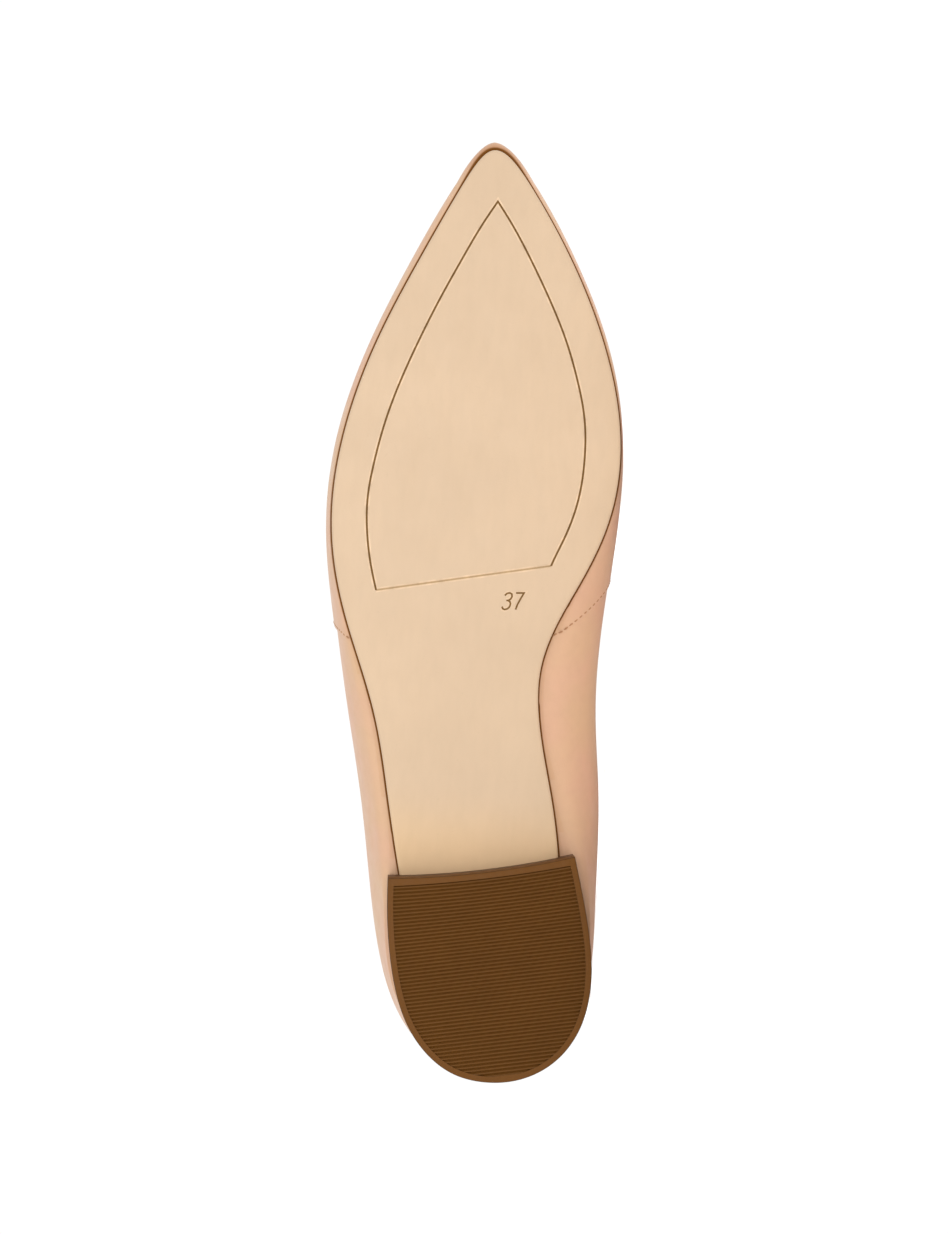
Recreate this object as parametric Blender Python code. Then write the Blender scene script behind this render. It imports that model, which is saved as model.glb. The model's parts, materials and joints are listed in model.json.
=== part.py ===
"""Pointed ballet flat for the right foot: lasted leather upper, short leather outsole, low heel with a
rubber top lift, and insole. The shoe lies on its inner side, on its lift's edge, heel and ball."""
import math
from collections import namedtuple

import bmesh
import bpy
import numpy as np
from mathutils import Matrix, Vector

# Sizes are in millimetres in the shoe's own frame: x from the heel back to the toe, y to the inner side,
# z up from the ground that the shoe is worn on. MM turns them into metres.
MM = 0.001
LENGTH = 264.2            # bottom edge of the last, heel back to toe tip
SOLE_TIP = 263.4          # toe tip of the outsole
GAP = 0.3                 # between pieces that touch
WALL = 1.6                # leather and lining of the upper
MARGIN = 5.0              # edge of the upper turned under the foot
SOLE_THICK = 2.8
SEAT_HEIGHT = 13.5        # underside of the foot's bed over the heel, above the ground
FLAT_BACK = 158.0         # the forefoot is flat on the ground between these two stations
FLAT_FRONT = 200.0
SEAT_FRONT = 25.0         # the bed is level behind this station
TOE_SPRING = 6.0
EDGE_ROUND = 0.9          # rounding of the outsole's lower edge
LIFT_THICK = 5.5
LIFT_BEVEL = 0.5
BREAST_MID = 61.1         # heel front at the middle line
BREAST_SLANT = 0.1134     # the heel front runs forward towards the inner side
BREAST_HOLLOW = 1.45
INSOLE_INSET = 2.3
INSOLE_THICK = 2.0
INSOLE_FRONT = 250.0      # front ends of the insole and of the filler under it, cut straight across
FILLER_FRONT = 236.0
FILLER_GAP = 1.0
THROAT = 172.0            # front end of the foot opening
HEEL_CENTRE = 32.0        # sections fan out around these two stations at the heel and the toe
TOE_CENTRE = 255.0
SEAM_FOOT_OUTER = 123.7   # the side seam's stations at the sole and at the topline, on each side
SEAM_TOP_OUTER = 132.7
SEAM_FOOT_INNER = 125.7
SEAM_TOP_INNER = 155.7
SEAM_WIDTH = 0.5
SEAM_STEP = 0.7           # the vamp stands this much proud of the quarter along the seam
SEAM_FADE = 35.0
BULGE_RISE = 0.5          # share of a column's lean that is reached at the widest height
LEAN_BOW = 0.6            # share of that lean which follows the bulge outward

# Density of each material, in kilograms per cubic metre, for the centre of mass.
LEATHER, PLASTIC, RUBBER = 900.0, 1100.0, 1200.0

# The last, a row for each station: half widths of its bottom edge, how far the wall bulges past that edge
# on each side and at what height above it, how round it turns out of the edge (1 for a quarter ellipse),
# and the middle line's height and its offset to the outer side.
Last = namedtuple("Last", "x outer inner bulge_outer bulge_inner bulge_up turn ridge ridge_side")
LAST = (
    Last(0.0, 0.0, 0.0, 2.0, 2.0, 24.0, 0.0, 112.0, 2.0),
    Last(12.0, 22.3, 22.2, 2.5, 2.2, 24.0, 0.0, 112.0, 2.0),
    Last(30.0, 30.0, 26.8, 2.3, 2.3, 24.0, 0.0, 112.0, 2.0),
    Last(55.0, 31.5, 26.4, 4.4, 4.1, 23.5, 0.1, 104.0, 2.6),
    Last(80.0, 33.0, 20.5, 5.5, 10.4, 22.0, 0.4, 90.0, 3.4),
    Last(105.0, 36.5, 15.5, 5.7, 14.3, 20.0, 0.5, 76.0, 4.0),
    Last(130.0, 42.6, 20.0, 3.0, 11.6, 18.0, 0.5, 63.0, 4.0),
    Last(155.0, 46.3, 31.6, 1.6, 3.5, 15.0, 0.5, 51.0, 3.4),
    Last(180.0, 43.6, 35.5, 1.9, 1.2, 12.0, 0.5, 41.0, 2.4),
    Last(205.0, 35.5, 32.2, 1.95, 1.1, 10.0, 0.5, 33.5, 1.0),
    Last(230.0, 23.1, 22.9, 2.1, 1.5, 8.0, 0.5, 26.3, 0.0),
    Last(250.0, 11.7, 12.4, 2.1, 1.8, 5.5, 0.5, 20.4, 0.0),
    Last(258.0, 6.8, 7.4, 1.8, 1.7, 4.6, 0.5, 18.4, 0.0),
    Last(LENGTH, 0.0, 0.0, 2.2, 2.2, 4.0, 0.5, 17.0, 0.0),
)

# Half widths of the outsole, which is cut a little narrower than the last, and most at the waist.
Sole = namedtuple("Sole", "x outer inner")
SOLE = (
    Sole(0.0, 0.0, 0.0),
    Sole(58.0, 27.0, 18.5),
    Sole(80.0, 30.35, 16.0),
    Sole(105.0, 34.5, 12.2),
    Sole(117.0, 37.9, 12.9),
    Sole(130.0, 41.9, 17.8),
    Sole(141.0, 44.5, 24.0),
    Sole(155.0, 46.1, 30.8),
    Sole(180.0, 43.4, 35.2),
    Sole(205.0, 35.1, 31.4),
    Sole(230.0, 22.5, 22.3),
    Sole(250.0, 11.2, 11.9),
    Sole(SOLE_TIP, 0.0, 0.0),
)

# Half widths of the top lift, which the upright heel block shares.
Lift = namedtuple("Lift", "x outer inner")
LIFT = (
    Lift(0.0, 0.0, 0.0),
    Lift(1.4, 9.3, 8.6),
    Lift(6.5, 17.8, 17.4),
    Lift(17.7, 25.6, 24.8),
    Lift(34.6, 29.7, 27.0),
    Lift(51.5, 30.6, 24.8),
    Lift(64.0, 30.1, 22.3),
)

# Where the topline cuts the wall, in degrees of the upper arc: 0 at the widest height, 90 at the middle line.
Topline = namedtuple("Topline", "x arc")
TOPLINE = (
    Topline(THROAT, 90.0),
    Topline(160.0, 69.5),
    Topline(150.0, 59.0),
    Topline(130.0, 41.5),
    Topline(105.0, 26.0),
    Topline(80.0, 18.0),
    Topline(55.0, 15.0),
    Topline(30.0, 16.5),
    Topline(12.0, 20.5),
    Topline(0.0, 22.7),
)

# Columns of faces round each side of the upper, and rows up its wall.
QUARTER_COLUMNS = 20
THROAT_COLUMNS = 9
VAMP_COLUMNS = 16
LOWER_LEVELS = (0.0, 0.4, 0.6, 0.8)
UPPER_ROWS = 8
PLATE_ROWS = 32
HEEL_ROWS = 12
CROSS_FACES = 6
MERGE = 1e-6
SHARP_ANGLE = math.radians(28)


def clear_scene():
    for item in list(bpy.data.objects):
        bpy.data.objects.remove(item, do_unlink=True)


def spline(knots, values):
    """A natural cubic through the given values, as a function."""
    knots = np.asarray(knots, float)
    values = np.asarray(values, float)
    steps = np.diff(knots)
    slopes = np.diff(values) / steps
    count = len(knots)
    system = np.eye(count)
    right = np.zeros(count)
    for i in range(1, count - 1):
        system[i, i - 1:i + 2] = steps[i - 1], 2 * (steps[i - 1] + steps[i]), steps[i]
        right[i] = 6 * (slopes[i] - slopes[i - 1])
    bends = np.linalg.solve(system, right)

    def at(place):
        i = min(max(int(np.searchsorted(knots, place)) - 1, 0), count - 2)
        back = (knots[i + 1] - place) / steps[i]
        front = 1 - back
        bow = (back ** 3 - back) * bends[i] + (front ** 3 - front) * bends[i + 1]
        return float(back * values[i] + front * values[i + 1] + bow * steps[i] ** 2 / 6)

    return at


def turn_of(x, tip=LENGTH):
    """Station as an angle, which rounds an outline at the heel back and at the toe tip."""
    return math.acos(1 - 2 * min(max(x / tip, 0.0), 1.0))


def columns_of(table, knot):
    """Each named column of a table as a function of the station."""
    knots = [knot(row.x) for row in table]
    order = np.argsort(knots)
    curves = {}
    for name in table[0]._fields[1:]:
        values = [getattr(row, name) for row in table]
        curves[name] = spline(np.array(knots)[order], np.array(values)[order])
    return {name: (lambda x, curve=curve: curve(knot(x))) for name, curve in curves.items()}


last = columns_of(LAST, turn_of)
sole = columns_of(SOLE, lambda x: turn_of(x, SOLE_TIP))
lift = columns_of(LIFT, lambda x: math.sqrt(max(x, 0.0)))
topline = columns_of(TOPLINE, lambda x: math.sqrt(max(THROAT - x, 0.0)))


def ease(share):
    return share * share * (3 - 2 * share)


def sole_bottom(x):
    """Height of the bottom line: toe spring, flat forefoot, arch and level seat."""
    if x > FLAT_FRONT:
        return TOE_SPRING * ((x - FLAT_FRONT) / (LENGTH - FLAT_FRONT)) ** 2
    if x > FLAT_BACK:
        return 0.0
    return SEAT_HEIGHT * ease(min((FLAT_BACK - x) / (FLAT_BACK - SEAT_FRONT), 1.0))


def bed(x):
    """Top of the outsole and of the heel, which the upper sits on."""
    return sole_bottom(x) + SOLE_THICK


def breast(y):
    """Station of the heel's front face across the shoe, on its straight chord."""
    return BREAST_MID + BREAST_SLANT * y


def side_width(curves, side, x):
    return side * curves["inner" if side > 0 else "outer"](x)


def toe_slope():
    """Fall of the middle line where the toe's fan of sections starts."""
    return last["ridge"](TOE_CENTRE) - last["ridge"](TOE_CENTRE - 1)


def wall_point(side, x, level):
    """A point of the lasted wall: level -1 to 0 under the foot, 0 to 1 up to the bulge, 1 to 2 over the top."""
    centre_x = min(max(x, HEEL_CENTRE), TOE_CENTRE)
    centre = Vector((centre_x, -last["ridge_side"](centre_x)))
    edge = Vector((x, side_width(last, side, x)))
    outward = (edge - centre).normalized()
    bulge = last["bulge_inner" if side > 0 else "bulge_outer"](x)
    bottom = bed(x) + GAP
    widest = bottom + last["bulge_up"](x)
    if level <= 0:
        plan = edge + outward * (MARGIN * level)
        return Vector((plan.x, plan.y, bottom))
    if level <= 1:
        angle = level * math.pi / 2
        plan = edge + outward * (bulge * math.sin(angle))
        turn = last["turn"](x)
        rise = (1 - turn) * level + turn * (1 - math.cos(angle))
        return Vector((plan.x, plan.y, bottom + (widest - bottom) * rise))
    angle = (level - 1) * math.pi / 2
    plan = centre + (edge + outward * bulge - centre) * math.cos(angle)
    top = last["ridge"](centre_x)
    if x > TOE_CENTRE:
        top += toe_slope() * (plan.x - centre_x)
    return Vector((plan.x, plan.y, widest + (top - widest) * math.sin(angle)))


def spread(start, stop, count):
    """Stations from start to stop, spaced evenly round the outline."""
    turns = np.linspace(turn_of(start), turn_of(stop), count + 1)
    return [LENGTH * (1 - math.cos(turn)) / 2 for turn in turns]


def seam_ends(side):
    """The side seam's stations at the sole and at the topline."""
    return (SEAM_FOOT_INNER, SEAM_TOP_INNER) if side > 0 else (SEAM_FOOT_OUTER, SEAM_TOP_OUTER)


def seam_step(side, foot):
    """Rise of the vamp, or fall of the quarter, that fades away from the side seam."""
    seam_foot = seam_ends(side)[0]
    sign = 1 if foot > seam_foot else -1
    return sign * SEAM_STEP / 2 * math.exp(-abs(foot - seam_foot) / SEAM_FADE)


def lean_share(level):
    """Share of a column's lean at a level of the lower wall."""
    return BULGE_RISE * ((1 - LEAN_BOW) * level + LEAN_BOW * math.sin(level * math.pi / 2))


def wall_columns(side):
    """Foot station and top station of each column of the wall, from the heel back to the toe tip."""
    seam_foot, seam_top = seam_ends(side)
    columns = []
    for foot in spread(0.0, seam_foot, QUARTER_COLUMNS):
        columns.append((foot, foot + (seam_top - seam_foot) * ease(foot / seam_foot)))
    for k in range(THROAT_COLUMNS):
        share = k / THROAT_COLUMNS
        foot = seam_foot + SEAM_WIDTH + (THROAT - seam_foot - SEAM_WIDTH) * share
        columns.append((foot, THROAT - (THROAT - seam_top - SEAM_WIDTH) * (1 - share) ** 2))
    for foot in spread(THROAT, LENGTH, VAMP_COLUMNS):
        columns.append((foot, foot))
    return columns


def wall_column(side, foot, top):
    """Points up one column, from the turned-under edge to the topline or the middle line."""
    arc = topline["arc"](top) / 90 if top < THROAT else 1.0
    points = [wall_point(side, foot, -1.0)]
    for level in LOWER_LEVELS:
        points.append(wall_point(side, foot + (top - foot) * lean_share(level), level))
    for row in range(UPPER_ROWS + 1):
        share = row / UPPER_ROWS
        x = foot + (top - foot) * (BULGE_RISE + (1 - BULGE_RISE) * share)
        points.append(wall_point(side, x, 1 + arc * share))
    return points


def finish_mesh(name, bm, colour, roughness):
    """Turns a bmesh in millimetres into a named object with its own material."""
    bmesh.ops.remove_doubles(bm, verts=bm.verts, dist=MERGE / MM)
    bmesh.ops.recalc_face_normals(bm, faces=bm.faces)
    bmesh.ops.scale(bm, vec=(MM, MM, MM), verts=bm.verts)
    mesh = bpy.data.meshes.new(name)
    bm.to_mesh(mesh)
    bm.free()
    mesh.shade_smooth()
    mesh.set_sharp_from_angle(angle=SHARP_ANGLE)
    mesh.materials.append(plain_material(name, colour, roughness))
    item = bpy.data.objects.new(name, mesh)
    bpy.context.scene.collection.objects.link(item)
    return item


def plain_material(name, colour, roughness):
    material = bpy.data.materials.new(name)
    material.use_nodes = True
    shader = material.node_tree.nodes["Principled BSDF"]
    shader.inputs["Base Color"].default_value = (*colour, 1.0)
    shader.inputs["Roughness"].default_value = roughness
    shader.inputs["Metallic"].default_value = 0.0
    return material


def add_face(bm, points):
    bm.faces.new([bm.verts.new(point) for point in points])


def lasted_surface():
    """The wall's middle form as an open surface, with the seam's step stored on its points."""
    bm = bmesh.new()
    step_layer = bm.verts.layers.float.new("step")
    for side in (1, -1):
        columns = wall_columns(side)
        grids = [wall_column(side, foot, top) for foot, top in columns]
        for i in range(len(columns) - 1):
            for row in range(len(grids[i]) - 1):
                corners = ((i, row), (i + 1, row), (i + 1, row + 1), (i, row + 1))
                face = []
                for column, place in corners:
                    vert = bm.verts.new(grids[column][place])
                    rise = min(max((place - 1) / len(LOWER_LEVELS), 0.0), 1.0)
                    vert[step_layer] = seam_step(side, columns[column][0]) * rise
                    face.append(vert)
                bm.faces.new(face)
    bmesh.ops.remove_doubles(bm, verts=bm.verts, dist=MERGE / MM)
    bmesh.ops.recalc_face_normals(bm, faces=bm.faces)
    inside = Vector((BREAST_MID, 0.0, bed(BREAST_MID)))
    widest = max(bm.verts, key=lambda vert: vert.co.y)
    if widest.normal.dot(widest.co - inside) < 0:
        bmesh.ops.reverse_faces(bm, faces=bm.faces)
    bm.normal_update()
    return bm, step_layer


def make_upper():
    surface, step_layer = lasted_surface()
    outer = {}
    inner = {}
    for vert in surface.verts:
        outer[vert] = vert.co + vert.normal * vert[step_layer]
        inner[vert] = vert.co - vert.normal * WALL * vert.calc_shell_factor()
    bm = bmesh.new()
    for face in surface.faces:
        add_face(bm, [outer[vert] for vert in face.verts])
        add_face(bm, [inner[vert] for vert in reversed(face.verts)])
    for edge in surface.edges:
        if edge.is_boundary:
            a, b = edge.verts
            add_face(bm, (outer[a], outer[b], inner[b], inner[a]))
    surface.free()
    return finish_mesh("upper", bm, (0.75, 0.48, 0.30), 0.42)


def plate_rows(curves, start_outer, start_inner, stop_outer, stop_inner, shares):
    """Pairs of edge points, inner and outer, from the back of a flat piece to its front."""
    rows = []
    for share in shares:
        outer_x = start_outer + (stop_outer - start_outer) * share
        inner_x = start_inner + (stop_inner - start_inner) * share
        outer = Vector((outer_x, side_width(curves, -1, outer_x)))
        inner = Vector((inner_x, side_width(curves, 1, inner_x)))
        rows.append((inner, outer))
    return rows


def boundary_of(rows):
    """The rows' ends in order round the plate, as row and side, with a shared end listed once."""
    order = [(i, 0) for i in range(len(rows))]
    order += [(i, 1) for i in reversed(range(len(rows)))]
    kept = []
    for i, side in order:
        if side == 1 and (rows[i][0] - rows[i][1]).length < MERGE:
            continue
        kept.append((i, side))
    return kept


def inset(rows, distance):
    """The rows with their outline drawn in by a distance."""
    order = boundary_of(rows)
    points = [rows[i][side] for i, side in order]
    moved = [list(pair) for pair in rows]
    for k, (i, side) in enumerate(order):
        before = (points[k] - points[k - 1]).normalized()
        after = (points[(k + 1) % len(points)] - points[k]).normalized()
        left = Vector((before.y, -before.x))
        right = Vector((after.y, -after.x))
        shift = (left + right) / (1 + left.dot(right)) * distance
        moved[i][side] = points[k] + shift
        if (rows[i][0] - rows[i][1]).length < MERGE:
            moved[i][1 - side] = points[k] + shift
    return [tuple(pair) for pair in moved]


def plate_points(rows, height, back_bow, front_bow):
    """Points across each row, with the first and last row bowed along the shoe."""
    grid = []
    for i, (inner, outer) in enumerate(rows):
        bow = back_bow if i == 0 else front_bow if i == len(rows) - 1 else 0.0
        line = []
        for j in range(CROSS_FACES + 1):
            share = j / CROSS_FACES
            plan = inner.lerp(outer, share)
            x = plan.x + bow * 4 * share * (1 - share)
            line.append(Vector((x, plan.y, height(x))))
        grid.append(line)
    return grid


def plate(name, levels, colour, roughness, back_bow=0.0, front_bow=0.0):
    """A closed piece through stacked outlines, each given as rows and a height, from the bottom up."""
    grids = [plate_points(rows, height, back_bow, front_bow) for rows, height in levels]
    bm = bmesh.new()
    for grid, turned in ((grids[0], False), (grids[-1], True)):
        for i in range(len(grid) - 1):
            for j in range(CROSS_FACES):
                quad = [grid[i][j], grid[i + 1][j], grid[i + 1][j + 1], grid[i][j + 1]]
                add_face(bm, quad[::-1] if turned else quad)
    for lower, upper in zip(grids, grids[1:]):
        low = rim_of(lower)
        high = rim_of(upper)
        for k in range(len(low)):
            n = (k + 1) % len(low)
            add_face(bm, (low[k], low[n], high[n], high[k]))
    return finish_mesh(name, bm, colour, roughness)


def rim_of(grid):
    """Points round the edge of a plate's grid."""
    rim = [line[0] for line in grid]
    rim += grid[-1][1:-1]
    rim += [line[-1] for line in reversed(grid)]
    rim += grid[0][-2:0:-1]
    return rim


def make_outsole():
    outer_x = breast(side_width(sole, -1, BREAST_MID)) + GAP
    inner_x = breast(side_width(sole, 1, BREAST_MID)) + GAP
    shares = [math.sin(math.pi / 2 * k / PLATE_ROWS) for k in range(PLATE_ROWS + 1)]
    rows = plate_rows(sole, outer_x, inner_x, SOLE_TIP, SOLE_TIP, shares)
    tread = inset(rows, EDGE_ROUND)
    half_way = EDGE_ROUND * (1 - math.cos(math.pi / 4))
    corner = inset(rows, half_way)
    levels = (
        (tread, sole_bottom),
        (corner, lambda x: sole_bottom(x) + half_way),
        (rows, lambda x: sole_bottom(x) + EDGE_ROUND),
        (rows, bed),
    )
    return plate("outsole", levels, (0.82, 0.60, 0.40), 0.55, back_bow=-BREAST_HOLLOW)


def heel_rows():
    """Rows of the heel and of its top lift, from the back to the breast."""
    outer_x = breast(side_width(lift, -1, BREAST_MID))
    inner_x = breast(side_width(lift, 1, BREAST_MID))
    shares = [1 - math.cos(math.pi / 2 * k / HEEL_ROWS) for k in range(HEEL_ROWS + 1)]
    return plate_rows(lift, 0.0, 0.0, outer_x, inner_x, shares)


def make_heel():
    rows = heel_rows()
    levels = (
        (rows, lambda x: LIFT_THICK + GAP),
        (rows, bed),
    )
    return plate("heel", levels, (0.16, 0.08, 0.03), 0.5, front_bow=-BREAST_HOLLOW)


def make_top_lift():
    rows = heel_rows()
    levels = (
        (inset(rows, LIFT_BEVEL), lambda x: 0.0),
        (rows, lambda x: LIFT_BEVEL),
        (rows, lambda x: LIFT_THICK),
    )
    return plate("top_lift", levels, (0.13, 0.055, 0.015), 0.6, front_bow=-BREAST_HOLLOW)


def make_insole():
    shares = [1 - math.cos(math.pi / 2 * k / PLATE_ROWS) for k in range(PLATE_ROWS + 1)]
    filler = inset(plate_rows(last, 0.0, 0.0, FILLER_FRONT, FILLER_FRONT, shares), MARGIN + FILLER_GAP)
    board = inset(plate_rows(last, 0.0, 0.0, INSOLE_FRONT, INSOLE_FRONT, shares), INSOLE_INSET)
    ledge = GAP + WALL + GAP
    levels = (
        (filler, lambda x: bed(x) + GAP),
        (filler, lambda x: bed(x) + ledge),
        (board, lambda x: bed(x) + ledge),
        (board, lambda x: bed(x) + ledge + INSOLE_THICK),
    )
    return plate("insole", levels, (0.70, 0.50, 0.34), 0.6)


def mass_centre(weighted):
    """Centre of mass of pieces given with their densities."""
    total = 0.0
    moment = Vector()
    for item, density in weighted:
        mesh = item.data
        mesh.calc_loop_triangles()
        for triangle in mesh.loop_triangles:
            a, b, c = (mesh.vertices[i].co for i in triangle.vertices)
            mass = density * a.dot(b.cross(c)) / 6
            total += mass
            moment += mass * (a + b + c) / 4
    return moment / total


def side_rest(weighted):
    """Direction, in the shoe's frame, of the ground that the shoe lies on when set on its inner side."""
    centre = mass_centre(weighted)
    bm = bmesh.new()
    for item, _ in weighted:
        for vert in item.data.vertices:
            bm.verts.new(vert.co)
    hull = bmesh.ops.convex_hull(bm, input=bm.verts)
    best = Vector((0.0, 1.0, 0.0))
    best_lean = 0.0
    for face in (part for part in hull["geom"] if isinstance(part, bmesh.types.BMFace)):
        normal = face.normal if face.normal.dot(face.calc_center_median() - centre) > 0 else -face.normal
        foot = centre + normal * (face.verts[0].co - centre).dot(normal)
        corners = [vert.co for vert in face.verts]
        turns = [(b - a).cross(foot - a).dot(face.normal) for a, b in zip(corners, corners[1:] + corners[:1])]
        if min(turns) > 0 and normal.y > best_lean:
            best = normal.copy()
            best_lean = normal.y
    bm.free()
    return best


def lay_down(weighted):
    """Parents the pieces to an empty that lays the shoe on its side, centred over the origin."""
    down = side_rest(weighted)
    toe = Vector((1.0, 0.0, 0.0))
    along = (toe - down * toe.dot(down)).normalized()
    across = (-down).cross(along)
    turn = Matrix((along, across, -down))
    points = [turn @ vert.co for item, _ in weighted for vert in item.data.vertices]
    low = [min(point[axis] for point in points) for axis in range(3)]
    high = [max(point[axis] for point in points) for axis in range(3)]
    place = Vector((-(low[0] + high[0]) / 2, -(low[1] + high[1]) / 2, -low[2]))
    holder = bpy.data.objects.new("lying_shoe", None)
    bpy.context.scene.collection.objects.link(holder)
    holder.matrix_world = Matrix.Translation(place) @ turn.to_4x4()
    for item, _ in weighted:
        item.parent = holder


clear_scene()
lay_down((
    (make_upper(), LEATHER),
    (make_outsole(), LEATHER),
    (make_heel(), PLASTIC),
    (make_top_lift(), RUBBER),
    (make_insole(), LEATHER),
))
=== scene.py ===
"""Dresses the lying ballet flat in a pale studio: lasted leather upper, engraved leather sole, heel with a
ribbed rubber top lift, and insole."""
import json
import math
from collections import namedtuple

import bmesh
import bpy
import numpy as np
from mathutils import Matrix, Vector


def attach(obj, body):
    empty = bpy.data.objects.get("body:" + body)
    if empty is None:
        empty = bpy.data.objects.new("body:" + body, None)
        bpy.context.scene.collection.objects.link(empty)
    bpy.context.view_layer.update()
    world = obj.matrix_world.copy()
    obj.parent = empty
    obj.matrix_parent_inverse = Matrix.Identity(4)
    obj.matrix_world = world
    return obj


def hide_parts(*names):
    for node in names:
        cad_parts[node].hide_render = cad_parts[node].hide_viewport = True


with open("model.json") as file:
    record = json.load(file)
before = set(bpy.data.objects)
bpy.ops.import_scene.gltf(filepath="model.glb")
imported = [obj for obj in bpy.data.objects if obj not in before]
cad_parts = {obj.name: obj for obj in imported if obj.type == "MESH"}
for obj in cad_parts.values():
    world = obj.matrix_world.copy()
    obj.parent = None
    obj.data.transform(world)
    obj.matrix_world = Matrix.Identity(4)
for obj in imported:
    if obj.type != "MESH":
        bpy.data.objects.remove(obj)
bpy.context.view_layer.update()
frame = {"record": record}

# Sizes are in millimetres in the shoe's own frame: x from the heel back to the toe, y to the inner side,
# z up from the ground that the shoe is worn on. MM turns them into metres.
MM = 0.001
LENGTH = 264.2            # bottom edge of the last, heel back to toe tip
SOLE_TIP = 263.4          # toe tip of the outsole
GAP = 0.3                 # between pieces that touch
WALL = 1.6                # leather and lining of the upper
RIM_ROUND = 0.8           # of the upper's cut edge; 1 for a half circle
MARGIN = 5.0              # edge of the upper turned under the foot
TURN_MORE = 3.0           # beside the heel, on the inner side, the turned edge is wider by this much
TURN_FRONT = 88.0         # the wider part fades out towards these two stations
TURN_FRONT_FADE = 24.0
TURN_BACK = 36.0
TURN_BACK_FADE = 14.0
SOLE_THICK = 2.8
SEAT_HEIGHT = 13.5        # underside of the foot's bed over the heel, above the ground
FLAT_BACK = 158.0         # the forefoot is flat on the ground between these two stations
FLAT_FRONT = 200.0
SEAT_FRONT = 25.0         # the bed is level behind this station
TOE_SPRING = 6.0
EDGE_ROUND = 0.9          # rounding of the outsole's lower edge
EDGE_STAIN = 0.62         # share of the outsole's thickness from which its edge is stained
LIFT_THICK = 5.5
LIFT_BEVEL = 0.5
BEVEL_STEP = 0.3          # share of the bevel at the outline between its two ends
BREAST_MID = 61.1         # heel front at the middle line
BREAST_SLANT = 0.1134     # the heel front runs forward towards the inner side
BREAST_HOLLOW = 1.45
BREAST_GAP = 0.05         # between the outsole's back end and the heel
INSOLE_INSET = 2.3
INSOLE_THICK = 2.0
INSOLE_ROUND = 0.8        # rounding of its upper edge
INSOLE_FRONT = 250.0
FILLER_FRONT = 236.0      # the insole's lower part, between the turned-under edges
FILLER_GAP = 1.0
THROAT = 172.0            # front end of the foot opening
HEEL_CENTRE = 32.0        # sections fan out around these two stations at the heel and the toe
TOE_CENTRE = 255.0
SEAM_FOOT_OUTER = 123.7   # the side seam's stations at the sole and at the topline, on each side
SEAM_TOP_OUTER = 132.7
SEAM_FOOT_INNER = 125.7
SEAM_TOP_INNER = 155.7
SEAM_WIDTH = 0.5
SEAM_STEP_OUTER = 0.7     # the vamp stands this much proud of the quarter along the seam
SEAM_STEP_INNER = 0.45
SEAM_FADE = 35.0
SOFT_BACK = 45.0          # along the waist the wall turns under the foot in a soft round
SOFT_FRONT = 142.0
SOFT_FADE = 22.0
SOFT_TURNS = 5
BULGE_RISE = 0.5          # share of a column's lean that is reached at the widest height
LEAN_BOW = 0.6            # share of that lean which follows the bulge outward
HEEL_TREAD = Vector((33.0, -1.5, 0.0))
FOREFOOT_TREAD = Vector((180.0, -4.0, 0.0))

# The last, a row for each station: half widths of its bottom edge, how far the wall bulges past that edge
# on each side and at what height above it, how round it turns out of the edge (1 for a quarter ellipse),
# and the middle line's height and its offset to the outer side.
Last = namedtuple("Last", "x outer inner bulge_outer bulge_inner bulge_up turn ridge ridge_side")
LAST = (
    Last(0.0, 0.0, 0.0, 2.0, 2.0, 24.0, 0.0, 112.0, 2.0),
    Last(12.0, 22.3, 22.2, 2.5, 2.2, 24.0, 0.0, 112.0, 2.0),
    Last(30.0, 30.0, 26.8, 2.3, 2.3, 24.0, 0.0, 112.0, 2.0),
    Last(55.0, 31.5, 26.4, 4.4, 4.1, 23.5, 0.1, 104.0, 2.6),
    Last(80.0, 33.0, 20.5, 5.5, 10.4, 22.0, 0.4, 90.0, 3.4),
    Last(105.0, 36.5, 15.5, 5.7, 14.3, 20.0, 0.5, 76.0, 4.0),
    Last(130.0, 42.6, 20.0, 3.0, 11.6, 18.0, 0.5, 63.0, 4.0),
    Last(155.0, 46.3, 31.6, 1.6, 3.5, 15.0, 0.5, 51.0, 3.4),
    Last(180.0, 43.6, 35.5, 1.9, 1.2, 12.0, 0.5, 41.0, 2.4),
    Last(205.0, 35.5, 32.2, 1.95, 1.1, 10.0, 0.5, 33.5, 1.0),
    Last(230.0, 23.1, 22.9, 2.1, 1.5, 8.0, 0.5, 26.3, 0.0),
    Last(250.0, 11.7, 12.4, 2.1, 1.8, 5.5, 0.5, 20.4, 0.0),
    Last(258.0, 6.8, 7.4, 1.8, 1.7, 4.6, 0.5, 18.4, 0.0),
    Last(LENGTH, 0.0, 0.0, 2.2, 2.2, 4.0, 0.5, 17.0, 0.0),
)

# Half widths of the outsole, which is cut a little narrower than the last, and most at the waist.
Half = namedtuple("Half", "x outer inner")
SOLE = (
    Half(0.0, 0.0, 0.0),
    Half(58.0, 27.0, 18.5),
    Half(80.0, 30.35, 16.0),
    Half(105.0, 34.5, 12.2),
    Half(117.0, 37.9, 12.9),
    Half(130.0, 41.9, 17.8),
    Half(141.0, 44.5, 24.0),
    Half(155.0, 46.1, 30.8),
    Half(180.0, 43.4, 35.2),
    Half(205.0, 35.1, 31.4),
    Half(230.0, 22.5, 22.3),
    Half(250.0, 11.2, 11.9),
    Half(SOLE_TIP, 0.0, 0.0),
)

# Half widths of the top lift.
LIFT = (
    Half(0.0, 0.0, 0.0),
    Half(1.4, 9.3, 8.6),
    Half(6.5, 17.8, 17.4),
    Half(17.7, 25.6, 24.8),
    Half(34.6, 29.7, 27.0),
    Half(51.5, 30.6, 24.8),
    Half(64.0, 30.1, 22.3),
)

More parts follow.
